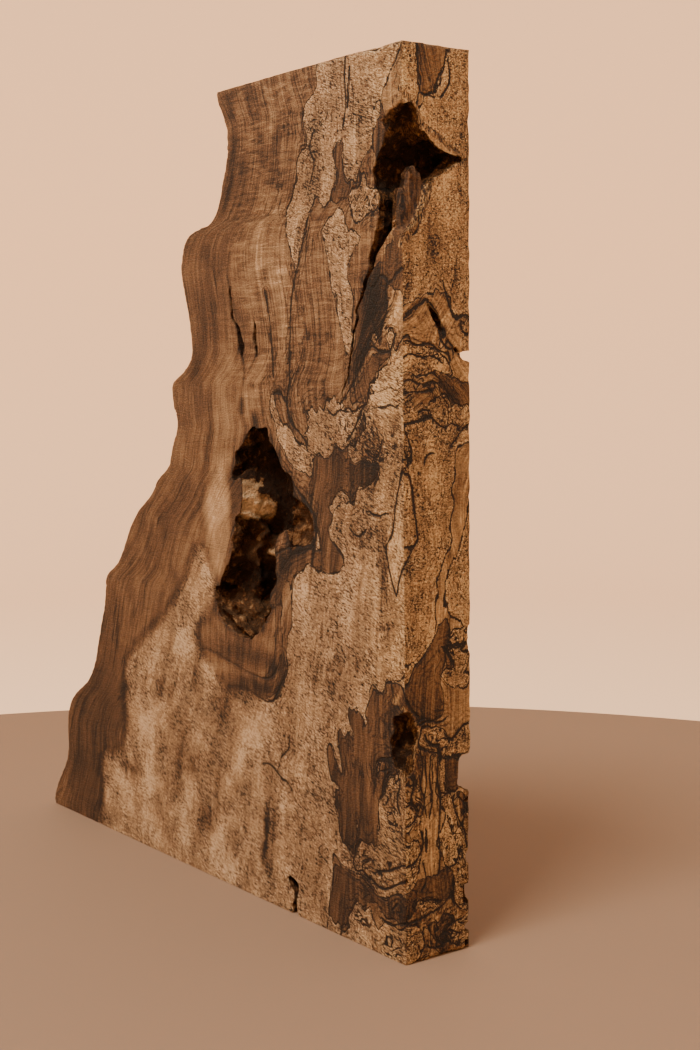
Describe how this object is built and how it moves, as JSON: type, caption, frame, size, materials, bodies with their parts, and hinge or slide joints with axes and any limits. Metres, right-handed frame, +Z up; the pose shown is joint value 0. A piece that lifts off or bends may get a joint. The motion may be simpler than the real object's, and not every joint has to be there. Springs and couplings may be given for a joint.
{
  "type": "spalted burl slab",
  "caption": "Thick upright slab of spalted maple burl with a wavy live edge, flat sawn faces, an open bark pocket and a broken hollow through one corner.",
  "frame": {"origin": "middle of the bounding box of the foot the slab stands on", "axes": "+Z up the slab, -Y out of the broad front face with the bark pocket, +X out of the narrow sawn edge, -X towards the live edge"},
  "size_m": [0.468, 0.051, 0.54],
  "materials": {
    "burl_wood": "rough sawn, dry, unsealed"
  },
  "bodies": {
    "root": {"burl_slab": "burl_wood"}
  },
  "joints": []
}
